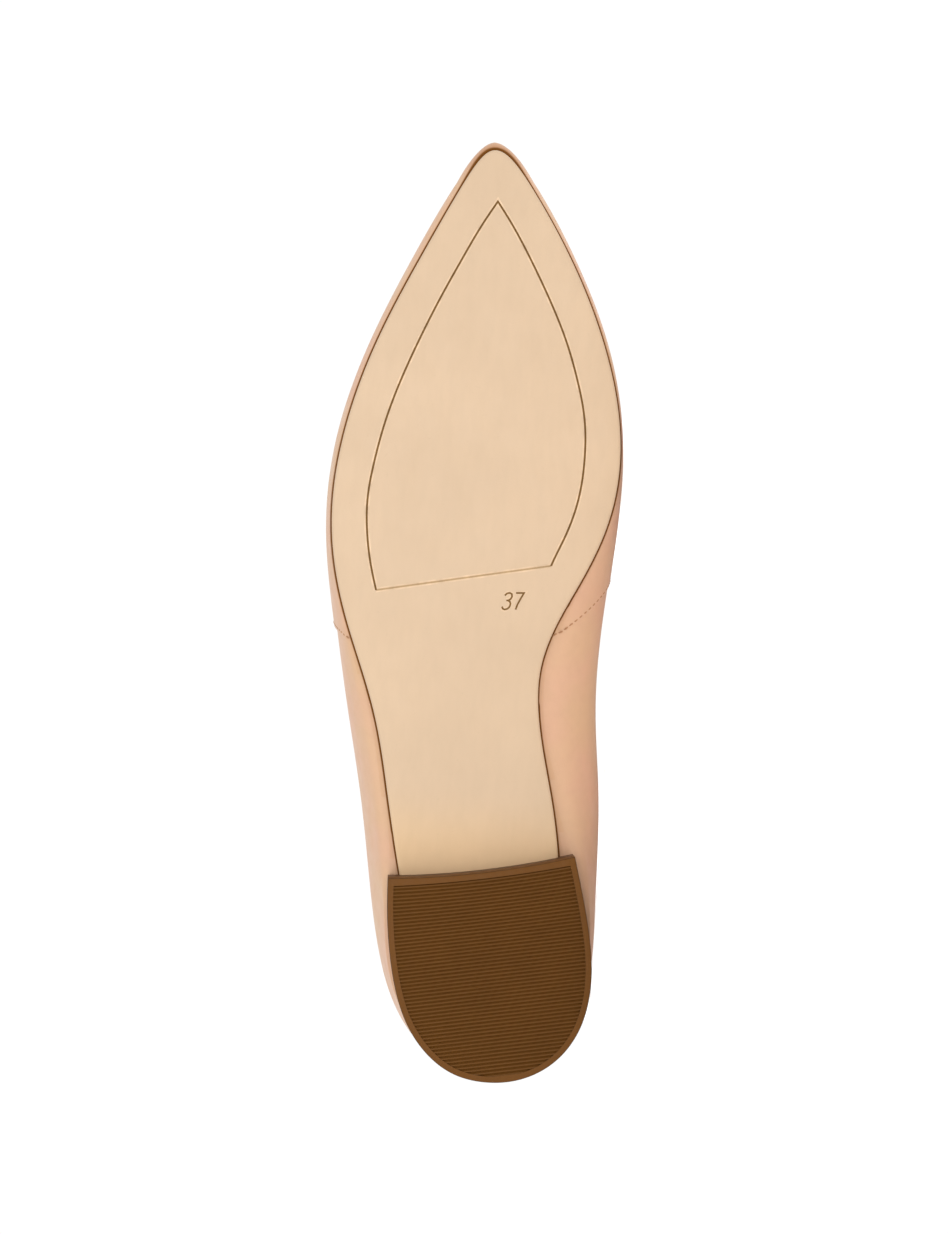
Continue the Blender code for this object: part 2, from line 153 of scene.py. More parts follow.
# Where the topline cuts the wall, in degrees of the upper arc: 0 at the widest height, 90 at the middle line.
Topline = namedtuple("Topline", "x arc")
TOPLINE = (
    Topline(THROAT, 90.0),
    Topline(160.0, 69.5),
    Topline(150.0, 59.0),
    Topline(130.0, 41.5),
    Topline(105.0, 26.0),
    Topline(80.0, 18.0),
    Topline(55.0, 15.0),
    Topline(30.0, 16.5),
    Topline(12.0, 20.5),
    Topline(0.0, 22.7),
)

# The line engraved in the forefoot, from its square back end to its point: distance to each side of the
# middle.
GROOVE = (
    Half(138.8, 33.7, 13.0),
    Half(147.3, 35.4, 16.35),
    Half(153.0, 36.05, 19.15),
    Half(164.2, 36.1, 23.25),
    Half(175.5, 34.05, 25.0),
    Half(186.8, 30.9, 25.0),
    Half(198.0, 26.65, 22.95),
    Half(209.3, 21.5, 19.7),
    Half(220.6, 15.8, 15.2),
    Half(232.0, 9.5, 9.9),
    Half(243.4, 2.75, 3.85),
    Half(248.5, -0.7, 0.7),
)
GROOVE_BACK_INNER = 145.6
GROOVE_HALF = 0.28
GROOVE_DEPTH = 0.38
GROOVE_FLOOR = 0.45       # width of a groove's floor as a share of its top's
GROOVE_BACK_HALF = 0.24
GROOVE_BACK_DEPTH = 0.14
LIP_WIDE = 0.45           # pressed edge on both sides of the engraving, painted lighter as a highlight
LIP_DEPTH = 0.05
LIP_EDGE = 0.01
CUT_OUTSIDE = 0.4         # how far a cutter stands out of the leather
LINE_WIDE = 0.55          # brown line on the upper along the sole's edge: partly edge dye, partly painted crevice shadow
LINE_WIDE_TOE = 1.15
LINE_BACK = 8.0           # the line starts this far behind the heel front
LINE_REACH = 1.25         # in widths of the line; the leather is matt up to here
TOE_FADE = 7.0            # at the toe the line is wider, and the leather beside it darkened by painted shade
TOE_SHADE_SHARE = 0.7
TOE_SHADE_WIDE = 2.6           # in widths of the line
TOE_SHADE_FADE = 0.4           # share of the height up to the bulge
FAR = 9.0                 # stands for any place away from the line

# Strokes of the stamped size number, in shares of its height, across and up.
NUMBER = (
    ((0.02, 0.84), (0.12, 0.96), (0.28, 1.0), (0.42, 0.93),
     (0.47, 0.78), (0.42, 0.63), (0.30, 0.55), (0.18, 0.54)),
    ((0.27, 0.535), (0.40, 0.48), (0.47, 0.35), (0.46, 0.18),
     (0.36, 0.05), (0.20, 0.0), (0.07, 0.05), (0.0, 0.18)),
    ((0.66, 0.99), (1.14, 0.99), (1.0, 0.62), (0.90, 0.30), (0.85, 0.0)),
)
NUMBER_PLACE = (133.3, 1.6)
NUMBER_HEIGHT = 4.7
NUMBER_LEAN = 0.22
NUMBER_HALF = 0.24
NUMBER_DEPTH = 0.24

# The top lift's tread.
RIM = 1.75
RIM_FRONT = 2.3
RIM_SAG = 0.85            # the ribbed field's front edge is hollow in the middle
SAG_FADE = 20.0
FIELD_END = 0.15          # the ribbed field ends this far before the rim at the back
RIB_PITCH = 1.054
RIB_TOP = 0.12            # ribs stay this far under the rim
RIB_DEPTH = 0.52
RIB_FLAT = 1.6            # above 1 the ribs are wide and flat, with narrow grooves between them

# Faces of the dense meshes, and how they are joined.
QUARTER_COLUMNS = 110
SEAM_COLUMNS = 6
THROAT_COLUMNS = 44
VAMP_COLUMNS = 90
UNDER_ROWS = 4
LOWER_ROWS = 18
UPPER_ROWS = 34
PLATE_ROWS = 150
HEEL_ROWS = 70
CROSS_FACES = 24
ROUND_FACES = 4
RIB_FACES = 8
FIELD_FACES = 12
OUTLINE_FACES = 900
GROOVE_POINTS = 70
GROOVE_INNER_POINTS = 68
GROOVE_BACK_POINTS = 18
STITCH_POINTS = 600
MERGE = 1e-3              # points closer than this are one
END_REACH = 14.0          # rows of a flat piece that are this near to its end follow the end's line
SHARP_PLATE = 35          # edges over these angles, in degrees, stay sharp
SHARP_THREAD = 50
SHARP_WALL = 100


class Curve:
    """A natural cubic through one column of a table, read at any array of places."""

    def __init__(self, knots, values):
        order = np.argsort(knots)
        self.knots = np.asarray(knots, float)[order]
        self.values = np.asarray(values, float)[order]
        self.steps = np.diff(self.knots)
        slopes = np.diff(self.values) / self.steps
        count = len(self.knots)
        system = np.eye(count)
        right = np.zeros(count)
        for i in range(1, count - 1):
            system[i, i - 1:i + 2] = self.steps[i - 1], 2 * (self.steps[i - 1] + self.steps[i]), self.steps[i]
            right[i] = 6 * (slopes[i] - slopes[i - 1])
        self.bends = np.linalg.solve(system, right)

    def __call__(self, place):
        i = np.clip(np.searchsorted(self.knots, place) - 1, 0, len(self.knots) - 2)
        back = (self.knots[i + 1] - place) / self.steps[i]
        front = 1 - back
        bow = (back ** 3 - back) * self.bends[i] + (front ** 3 - front) * self.bends[i + 1]
        return back * self.values[i] + front * self.values[i + 1] + bow * self.steps[i] ** 2 / 6


def turn_of(x, tip=LENGTH):
    """Station as an angle, which rounds an outline at the heel back and at the toe tip."""
    return np.arccos(1 - 2 * np.clip(np.asarray(x, float) / tip, 0.0, 1.0))


def columns_of(table, knot):
    """Each named column of a table as a function of the station."""
    knots = knot(np.array([row.x for row in table]))
    curves = {}
    for name in table[0]._fields[1:]:
        curve = Curve(knots, [getattr(row, name) for row in table])
        curves[name] = lambda x, curve=curve: curve(knot(np.asarray(x, float)))
    return curves


last = columns_of(LAST, turn_of)
sole = columns_of(SOLE, lambda x: turn_of(x, SOLE_TIP))
lift = columns_of(LIFT, lambda x: np.sqrt(np.maximum(x, 0.0)))
topline = columns_of(TOPLINE, lambda x: np.sqrt(np.maximum(THROAT - x, 0.0)))
groove = columns_of(GROOVE, lambda x: x)


def ease(share):
    """A share held between 0 and 1 that starts and ends softly."""
    share = np.clip(share, 0.0, 1.0)
    return share * share * (3 - 2 * share)


def sole_bottom(x):
    """Height of the bottom line: toe spring, flat forefoot, arch and level seat."""
    x = np.asarray(x, float)
    spring = TOE_SPRING * (np.maximum(x - FLAT_FRONT, 0.0) / (LENGTH - FLAT_FRONT)) ** 2
    arch = SEAT_HEIGHT * ease((FLAT_BACK - x) / (FLAT_BACK - SEAT_FRONT))
    return spring + arch


def bed(x):
    """Top of the outsole and of the heel, which the upper sits on."""
    return sole_bottom(x) + SOLE_THICK


def breast(y):
    """Station of the heel's front face across the shoe, on its straight chord."""
    return BREAST_MID + BREAST_SLANT * y


def side_width(curves, side, x):
    return side * curves["inner" if side > 0 else "outer"](x)


def breast_line(y):
    """Station of the heel's hollow front face across the shoe."""
    inner, outer = [side_width(lift, side, BREAST_MID) for side in (1, -1)]
    share = (inner - y) / (inner - outer)
    return breast(y) - BREAST_HOLLOW * 4 * share * (1 - share)


def turned_more(side, x):
    """How much wider the turned-under edge is, where the sole is narrow beside the heel."""
    front = ease((TURN_FRONT - x) / TURN_FRONT_FADE)
    back = ease((x - TURN_BACK) / TURN_BACK_FADE)
    return (TURN_MORE if side > 0 else 0.0) * front * back


def wall(side, x, level, inset=0.0):
    """Points of the lasted wall: level -2 to 0 under the foot, 0 to 1 up to the bulge, 1 to 2 over the top.
    With an inset they lie that far inside it."""
    x, level = np.broadcast_arrays(np.asarray(x, float), np.asarray(level, float))
    centre_x = np.clip(x, HEEL_CENTRE, TOE_CENTRE)
    centre_y = -last["ridge_side"](centre_x)
    out_x = x - centre_x
    out_y = side_width(last, side, x) - centre_y
    full = np.hypot(out_x, out_y)
    out_x, out_y = out_x / full, out_y / full
    bulge = last["bulge_inner" if side > 0 else "bulge_outer"](x)
    bottom = bed(x) + GAP + inset
    widest = bed(x) + GAP + last["bulge_up"](x)
    low = np.clip(level, 0.0, 1.0)
    angle = low * np.pi / 2
    turn = last["turn"](x)
    rise = (1 - turn) * low + turn * (1 - np.cos(angle))
    arc = np.clip(level - 1, 0.0, 1.0) * np.pi / 2
    under = np.clip(level, -1.0, 0.0) * (MARGIN - inset)
    under = under + np.clip(level + 1, -1.0, 0.0) * turned_more(side, x)
    reach = (full - inset + under + bulge * np.sin(angle)) * np.cos(arc)
    plan_x = centre_x + out_x * reach
    plan_y = centre_y + out_y * reach
    slope = last["ridge"](TOE_CENTRE) - last["ridge"](TOE_CENTRE - 1)
    top = last["ridge"](centre_x) - inset + np.where(x > TOE_CENTRE, slope * (plan_x - centre_x), 0.0)
    height = bottom + (widest - bottom) * rise + (top - widest) * np.sin(arc)
    return np.stack([plan_x, plan_y, height], axis=-1)


def lying_matrix():
    """The shoe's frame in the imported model's, from the two treads that the record states."""
    mounts = {mount["name"]: mount for mount in frame["record"]["mounts"]}
    heel = Vector(mounts["heel_tread"]["pos_m"])
    up = -Vector(mounts["heel_tread"]["axis"]).normalized()
    run = Vector(mounts["forefoot_tread"]["pos_m"]) - heel
    run = (run - up * run.dot(up)).normalized()
    side = up.cross(run)
    own = (FOREFOOT_TREAD - HEEL_TREAD).normalized()
    toe = run * own.x - side * own.y
    inner = run * own.y + side * own.x
    turn = Matrix((toe, inner, up)).transposed()
    place = heel - turn @ (HEEL_TREAD * MM)
    return Matrix.Translation(place) @ turn.to_4x4()


LYING = lying_matrix()
TURN = np.array(LYING.to_3x3())
PLACE = np.array(LYING.translation)


def to_world(points):
    return np.asarray(points, float) * MM @ TURN.T + PLACE


def unit(vectors):
    """The same directions with length 1."""
    return vectors / np.linalg.norm(vectors, axis=1, keepdims=True)


def mitre(before, after, side):
    """Shift of each corner between two directions that moves both edges out by 1 to one side."""
    left = side * np.stack([-before[:, 1], before[:, 0]], axis=-1)
    right = side * np.stack([-after[:, 1], after[:, 0]], axis=-1)
    return (left + right) / (1 + np.sum(left * right, axis=1, keepdims=True))


def coinciding(points):
    """The first of each group of points that coincide, and the group of every point."""
    cells = np.round(np.array(points) / MERGE).astype(np.int64)
    _, first, back = np.unique(cells, axis=0, return_index=True, return_inverse=True)
    return first, back.reshape(-1)


class Shape:
    """Points in the shoe's frame and faces with a material number each, gathered into one mesh."""

    def __init__(self):
        self.points = []
        self.faces = []
        self.kinds = []

    def add_points(self, points):
        start = len(self.points)
        self.points.extend(np.asarray(points, float).reshape(-1, 3))
        return start

    def add_face(self, corners, kind=0):
        corners = [c for i, c in enumerate(corners) if c != corners[i - 1]]
        if len(corners) > 2:
            self.faces.append(corners)
            self.kinds.append(kind)

    def add_grid(self, start, rows, across, kind=0, turned=False):
        """Faces between the rows of a grid of points."""
        for i in range(rows - 1):
            for j in range(across - 1):
                a = start + i * across + j
                quad = [a, a + across, a + across + 1, a + 1]
                self.add_face(quad[::-1] if turned else quad, kind)

    def add_band(self, low, high, kind=0):
        """Faces between two rings of points."""
        for i in range(len(low)):
            self.add_face([low[i - 1], low[i], high[i], high[i - 1]], kind)

    def merged(self):
        """The same shape with points that coincide made one."""
        first, back = coinciding(self.points)
        result = Shape()
        result.points = [self.points[i] for i in first]
        for face, kind in zip(self.faces, self.kinds):
            result.add_face([int(back[c]) for c in face], kind)
        return result

    def mesh(self, name, rims=()):
        """The shape as a mesh in the model's frame. Flat faces of the first material fill in between any
        rims, and points without a face are left out."""
        mesh = bpy.data.meshes.new(name)
        mesh.from_pydata([tuple(p) for p in to_world(self.points)], [], self.faces)
        mesh.polygons.foreach_set("material_index", self.kinds)
        bm = bmesh.new()
        bm.from_mesh(mesh)
        bm.verts.ensure_lookup_table()
        edges = []
        for rim in rims:
            for i, corner in enumerate(rim):
                pair = (bm.verts[rim[i - 1]], bm.verts[corner])
                edges.append(bm.edges.get(pair) or bm.edges.new(pair))
        if edges:
            bmesh.ops.triangle_fill(bm, edges=edges, use_beauty=True)
        bmesh.ops.delete(bm, geom=[v for v in bm.verts if not v.link_faces], context="VERTS")
        bmesh.ops.recalc_face_normals(bm, faces=bm.faces)
        bm.to_mesh(mesh)
        bm.free()
        return mesh


def add_object(name, data):
    """A new object in the scene."""
    item = bpy.data.objects.new(name, data)
    bpy.context.scene.collection.objects.link(item)
    return item


def place_piece(name, mesh, materials, node, sharp):
    """Puts a mesh in the scene as a piece that stands for a node, if one is given."""
    if not mesh.materials:
        for material in materials:
            mesh.materials.append(material)
    mesh.shade_smooth()
    mesh.set_sharp_from_angle(angle=math.radians(sharp))
    piece = add_object(name, mesh)
    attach(piece, "root")
    if node:
        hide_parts(node)


# Materials.

def linear(red, green, blue):
    """A display colour from 0 to 255 as linear light."""
    shares = [value / 255 for value in (red, green, blue)]
    return tuple(v / 12.92 if v <= 0.04045 else ((v + 0.055) / 1.055) ** 2.4 for v in shares)


class Painter:
    """A Principled material and short ways to add its nodes."""

    def __init__(self, name, roughness, specular):
        self.material = bpy.data.materials.new(name)
        self.material.use_nodes = True
        self.nodes = self.material.node_tree.nodes
        self.links = self.material.node_tree.links
        self.shader = self.nodes["Principled BSDF"]
        self.shader.inputs["Roughness"].default_value = roughness
        self.shader.inputs["Specular IOR Level"].default_value = specular
        self.coordinates = self.nodes.new("ShaderNodeTexCoord").outputs["Object"]

    def noise(self, size, detail, stretch=(1.0, 1.0, 1.0)):
        """Noise whose features are about that many millimetres across."""
        mapping = self.nodes.new("ShaderNodeMapping")
        mapping.inputs["Scale"].default_value = stretch
        self.links.new(self.coordinates, mapping.inputs["Vector"])
        node = self.nodes.new("ShaderNodeTexNoise")
        node.inputs["Scale"].default_value = 1000.0 / size
        node.inputs["Detail"].default_value = detail
        self.links.new(mapping.outputs["Vector"], node.inputs["Vector"])
        return node.outputs["Fac"]

    def cells(self, size):
        """Rounded cells about that many millimetres across."""
        node = self.nodes.new("ShaderNodeTexVoronoi")
        node.feature = "F1"
        node.inputs["Scale"].default_value = 1000.0 / size
        self.links.new(self.coordinates, node.inputs["Vector"])
        return node.outputs["Distance"]

    def attribute(self, name):
        node = self.nodes.new("ShaderNodeAttribute")
        node.attribute_name = name
        return node.outputs["Fac"]

    def ramp(self, value, low, high, start=0.0, stop=1.0):
        node = self.nodes.new("ShaderNodeMapRange")
        node.inputs["From Min"].default_value = low
        node.inputs["From Max"].default_value = high
        node.inputs["To Min"].default_value = start
        node.inputs["To Max"].default_value = stop
        self.links.new(value, node.inputs["Value"])
        return node.outputs["Result"]

    def along(self, start, stop):
        """1 at one station of the shoe, falling softly to 0 at another."""
        split = self.nodes.new("ShaderNodeSeparateXYZ")
        self.links.new(self.coordinates, split.inputs["Vector"])
        ends = to_world([(start, 0.0, 0.0), (stop, 0.0, 0.0)])[:, 0]
        share = self.ramp(split.outputs["X"], ends[0], ends[1], 1.0, 0.0)
        share.node.interpolation_type = "SMOOTHSTEP"
        return share

    def mix(self, share, first, second, blend="MIX"):
        node = self.nodes.new("ShaderNodeMix")
        node.data_type = "RGBA"
        node.blend_type = blend
        for socket, value in ((node.inputs[6], first), (node.inputs[7], second)):
            if isinstance(value, tuple):
                socket.default_value = (*value, 1.0)
            else:
                self.links.new(value, socket)
        self.links.new(share, node.inputs[0])
        return node.outputs[2]

    def colour(self, value):
        self.links.new(value, self.shader.inputs["Base Color"])

    def roughness(self, size, low, high):
        """Lets the roughness wander between two values, in patches of that size."""
        value = self.ramp(self.noise(size, 3.0), 0.3, 0.7, low, high)
        self.links.new(value, self.shader.inputs["Roughness"])

    def bump(self, value, depth):
        """Raises the surface by up to a depth in millimetres; several calls add up."""
        node = self.nodes.new("ShaderNodeBump")
        node.inputs["Strength"].default_value = 1.0
        node.inputs["Distance"].default_value = depth * MM
        self.links.new(value, node.inputs["Height"])
        before = self.shader.inputs["Normal"].links
        if before:
            self.links.new(before[0].from_socket, node.inputs["Normal"])
        self.links.new(node.outputs["Normal"], self.shader.inputs["Normal"])


def shade(colour, factor):
    return tuple(value * factor for value in colour)


def mottled(name, roughness, specular, noise, first, second):
    """A material whose colour wanders between two, in patches of a noise."""
    paint = Painter(name, roughness, specular)
    patches = paint.ramp(paint.noise(*noise), 0.3, 0.7)
    paint.colour(paint.mix(patches, first, second))
    return paint


NUDE = (0.605, 0.374, 0.236)
NUDE_ROSE = (0.613, 0.366, 0.240)
NUDE_TAN = (0.592, 0.379, 0.226)
PALE_SOLE = (0.558, 0.405, 0.268)
# Dark brown of the line along the sole: partly edge dye, partly painted shadow of the crevice.
DYE_AND_CREVICE_SHADE = (0.15, 0.053, 0.007)
# Painted shade on the toe beside the sole's line.
TOE_SHADE_BROWN = (0.36, 0.16, 0.065)
HEEL_BOUNCE_TINT = (1.12, 1.06, 0.92)   # painted reflected light of the brown heel, on the sole's leather beside it
HEEL_BOUNCE_LONG = 22.0
ENGRAVED = (0.21, 0.110, 0.031)
ENGRAVED_FAINT = (0.40, 0.265, 0.14)
# The lip is the sole's leather painted lighter: a painted highlight beside the engraving.
LIP_HIGHLIGHT = 1.1
RIM_BROWN = (0.120, 0.045, 0.006)
# The ribs' rubber is the rim's, painted a little darker: painted shade of the grooves.
SHADED_RIB_BROWN = (0.108, 0.042, 0.006)
# The bevel's rubber painted about half as bright: painted shade on the lift's outer edge.
SHADED_BEVEL_BROWN = (0.062, 0.024, 0.005)
BLOCK_DARK = (0.085, 0.034, 0.009)
BLOCK_LIGHT = (0.112, 0.047, 0.014)
FIBRES = (0.3, 1.0, 1.0)         # noise drawn out along the shoe
LAYERS = (0.25, 2.6, 0.25)       # noise in thin layers parallel to the sole


def upper_material(name, specular):
    """Nude leather with the brown line along the sole, partly edge dye and partly painted crevice shadow, and
    painted shade at the toe, which the mesh's attributes place.
    """
    paint = Painter(name, 0.42, specular)
    patches = paint.ramp(paint.noise(21.0, 3.0), 0.35, 0.65)
    colour = paint.mix(patches, NUDE_TAN, NUDE_ROSE)
    mottle = paint.ramp(paint.noise(3.2, 4.0), 0.35, 0.75, 0.0, 0.18)
    colour = paint.mix(mottle, colour, shade(NUDE, 0.8))
    # Painted shade at the toe, darkest beside the sole's line.
    colour = paint.mix(paint.attribute("painted_toe_shade"), colour, TOE_SHADE_BROWN)
    # The line along the sole's edge, partly edge dye and partly painted crevice shadow.
    line = paint.ramp(paint.attribute("dye_and_shade_line"), 0.8, 1.2, 1.0, 0.0)
    paint.colour(paint.mix(line, colour, DYE_AND_CREVICE_SHADE))
    paint.roughness(5.0, 0.36, 0.5)
    paint.bump(paint.noise(9.0, 2.0), 0.12)
    paint.bump(paint.cells(0.55), 0.022)
    paint.bump(paint.noise(0.35, 3.0), 0.012)
    return paint.material


def lining_material():
    colours = linear(214, 178, 146), linear(224, 190, 160)
    paint = mottled("lining_leather", 0.55, 0.3, (18.0, 3.0), *colours)
    paint.bump(paint.cells(0.8), 0.02)
    paint.bump(paint.noise(0.5, 2.0), 0.015)
    return paint.material


def sock_material():
    colours = linear(208, 170, 136), linear(220, 184, 150)
    paint = mottled("sock_leather", 0.55, 0.3, (22.0, 3.0), *colours)
    paint.roughness(6.0, 0.48, 0.62)
    paint.bump(paint.cells(0.8), 0.02)
    paint.bump(paint.noise(0.5, 2.0), 0.015)
    return paint.material


def sole_material():
    paint = Painter("sole_leather", 0.5, 0.35)
    patches = paint.ramp(paint.noise(34.0, 2.0), 0.3, 0.7)
    colour = paint.mix(patches, shade(PALE_SOLE, 0.97), shade(PALE_SOLE, 1.03))
    fibre = paint.ramp(paint.noise(2.4, 5.0, FIBRES), 0.35, 0.8, 0.0, 0.25)
    colour = paint.mix(fibre, colour, shade(PALE_SOLE, 0.85))
    specks = paint.ramp(paint.noise(0.9, 2.0), 0.68, 0.8, 0.0, 0.22)
    colour = paint.mix(specks, colour, shade(PALE_SOLE, 0.76))
    # Painted reflected light of the heel, fading out from the heel's front.
    heel_bounce = paint.along(BREAST_MID, BREAST_MID + HEEL_BOUNCE_LONG)
    paint.colour(paint.mix(heel_bounce, colour, HEEL_BOUNCE_TINT, "MULTIPLY"))
    paint.roughness(7.0, 0.44, 0.58)
    paint.bump(paint.noise(0.6, 4.0), 0.018)
    paint.bump(paint.noise(14.0, 2.0), 0.05)
    return paint.material


def edge_material():
    colours = linear(104, 64, 34), linear(126, 80, 45)
    paint = mottled("sole_edge", 0.5, 0.35, (6.0, 3.0, FIBRES), *colours)
    paint.bump(paint.noise(0.5, 3.0), 0.02)
    return paint.material


def groove_material(name, colour):
    return mottled(name, 0.6, 0.2, (3.0, 3.0), shade(colour, 0.86), shade(colour, 1.14)).material


def rubber_material(name, colour):
    paint = mottled(name, 0.55, 0.15, (9.0, 4.0), shade(colour, 0.95), shade(colour, 1.05))
    paint.roughness(2.0, 0.48, 0.64)
    paint.bump(paint.noise(0.4, 3.0), 0.012)
    return paint.material


def heel_material():
    paint = mottled("heel_block", 0.5, 0.15, (5.0, 5.0, LAYERS), BLOCK_DARK, BLOCK_LIGHT)
    paint.roughness(2.0, 0.42, 0.56)
    paint.bump(paint.noise(1.2, 4.0, LAYERS), 0.02)
    return paint.material


def thread_material():
    paint = Painter("stitch_thread", 0.6, 0.25)
    twist = paint.ramp(paint.noise(0.5, 2.0), 0.35, 0.65)
    paint.colour(paint.mix(twist, linear(158, 114, 80), linear(182, 138, 102)))
    paint.bump(paint.noise(0.25, 2.0), 0.02)
    return paint.material


# Materials of the upper, by number.
NUDE_LEATHER, LINING, MATT_EDGE = range(3)


def seam_ends(side):
    """The side seam's stations at the sole and at the topline."""
    return (SEAM_FOOT_INNER, SEAM_TOP_INNER) if side > 0 else (SEAM_FOOT_OUTER, SEAM_TOP_OUTER)


def lean_share(level):
    """Share of a column's lean at a level of the lower wall."""
    return BULGE_RISE * ((1 - LEAN_BOW) * level + LEAN_BOW * np.sin(level * np.pi / 2))


def spread(start, stop, count):
    """Stations from start to stop, spaced evenly round the outline."""
    turns = np.linspace(turn_of(start), turn_of(stop), count + 1)
    return LENGTH * (1 - np.cos(turns)) / 2


def wall_columns(side):
    """Foot station and top station of each column of the wall, from the heel back to the toe tip."""
    seam_foot, seam_top = seam_ends(side)
    lean = seam_top - seam_foot
    quarter = spread(0.0, seam_foot, QUARTER_COLUMNS)
    seam = seam_foot + SEAM_WIDTH * np.arange(1, SEAM_COLUMNS) / SEAM_COLUMNS
    share = np.arange(THROAT_COLUMNS) / THROAT_COLUMNS
    front = seam_foot + SEAM_WIDTH
    throat = front + (THROAT - front) * share
    throat_top = THROAT - (THROAT - front - lean) * (1 - share) ** 2
    vamp = spread(THROAT, LENGTH, VAMP_COLUMNS)
    foot = np.concatenate([quarter, seam, throat, vamp])
    top = np.concatenate([quarter + lean * ease(quarter / seam_foot), seam + lean, throat_top, vamp])
    return foot, top


def seam_step(side, foot):
    """Rise of the vamp, or fall of the quarter, that fades away from the side seam."""
    step = SEAM_STEP_INNER if side > 0 else SEAM_STEP_OUTER
    seam_foot = seam_ends(side)[0]
    across = (foot - seam_foot) / SEAM_WIDTH
    away = np.maximum(np.maximum(seam_foot - foot, foot - seam_foot - SEAM_WIDTH), 0.0)
    return (2 * ease(across) - 1) * step / 2 * np.exp(-away / SEAM_FADE)


def wall_grid(side, foot, top):
    """Station and level of every row of the given columns."""
    arc = np.where(top < THROAT, topline["arc"](np.minimum(top, THROAT)) / 90, 1.0)[:, None]
    foot, lean = foot[:, None], (top - foot)[:, None]
    under = np.concatenate([[-2.0], np.linspace(-1.0, 0.0, UNDER_ROWS)[:-1]])[None, :]
    low = np.linspace(0.0, 1.0, LOWER_ROWS + 1)[None, :-1]
    high = np.linspace(0.0, 1.0, UPPER_ROWS + 1)[None, :]
    x = np.concatenate([
        foot + 0 * under,
        foot + lean * lean_share(low),
        foot + lean * (BULGE_RISE + (1 - BULGE_RISE) * high),
    ], axis=1)
    level = np.concatenate([under + 0 * foot, low + 0 * foot, 1 + arc * high], axis=1)
    return x, level


def point_normals(points, faces):
    """Unit normal at each point, from the faces round it."""
    normals = np.zeros_like(points)
    for face in faces:
        corners = points[face]
        normal = np.cross(corners[2] - corners[0], corners[-1] - corners[1])
        normals[face] += normal
    return normals / np.maximum(np.linalg.norm(normals, axis=1, keepdims=True), 1e-12)


def rim_loops(faces):
    """Loops of edges that only one face has, each as a list of points in order."""
    ahead = dict.fromkeys((face[i - 1], corner) for face in faces for i, corner in enumerate(face))
    following = {a: b for a, b in ahead if (b, a) not in ahead}
    loops = []
    while following:
        start, here = following.popitem()
        loop = [start]
        while here != start:
            loop.append(here)
            here = following.pop(here)
        loops.append(loop)
    return loops


def softened(points, foot):
    """The wall's grid with the edge that turns under the foot made round along the waist."""
    back = ease((foot - SOFT_BACK) / SOFT_FADE)
    front = ease((SOFT_FRONT - foot) / SOFT_FADE)
    share = (back * front)[:, None, None] / 2
    points = points.copy()
    rows = slice(UNDER_ROWS - 1, UNDER_ROWS + 3)
    for _ in range(SOFT_TURNS):
        middle = (points[:, UNDER_ROWS - 2:UNDER_ROWS + 2] + points[:, UNDER_ROWS:UNDER_ROWS + 4]) / 2
        points[:, rows] += (middle - points[:, rows]) * share
    return points


def toe_share(points):
    """1 at the toe tip, falling softly to 0 behind it."""
    return np.exp(-((LENGTH - points[..., 0]) / TOE_FADE) ** 2)


def past_sole(side, points):
    """How far points lie outside the sole's outline, seen from below, in widths of the brown line there."""
    stations = spread(BREAST_MID - LINE_BACK, SOLE_TIP, OUTLINE_FACES)
    outline = np.stack([stations, side_width(sole, side, stations)], axis=-1)
    past = np.empty(points.shape[:2])
    for i, column in enumerate(points):
        away = np.linalg.norm(column[:, None, :2] - outline[None], axis=-1).min(axis=1)
        under = side * column[:, 1] < side * side_width(sole, side, column[:, 0])
        past[i] = np.where(under, -away, away)
    return past / (LINE_WIDE + (LINE_WIDE_TOE - LINE_WIDE) * toe_share(points))


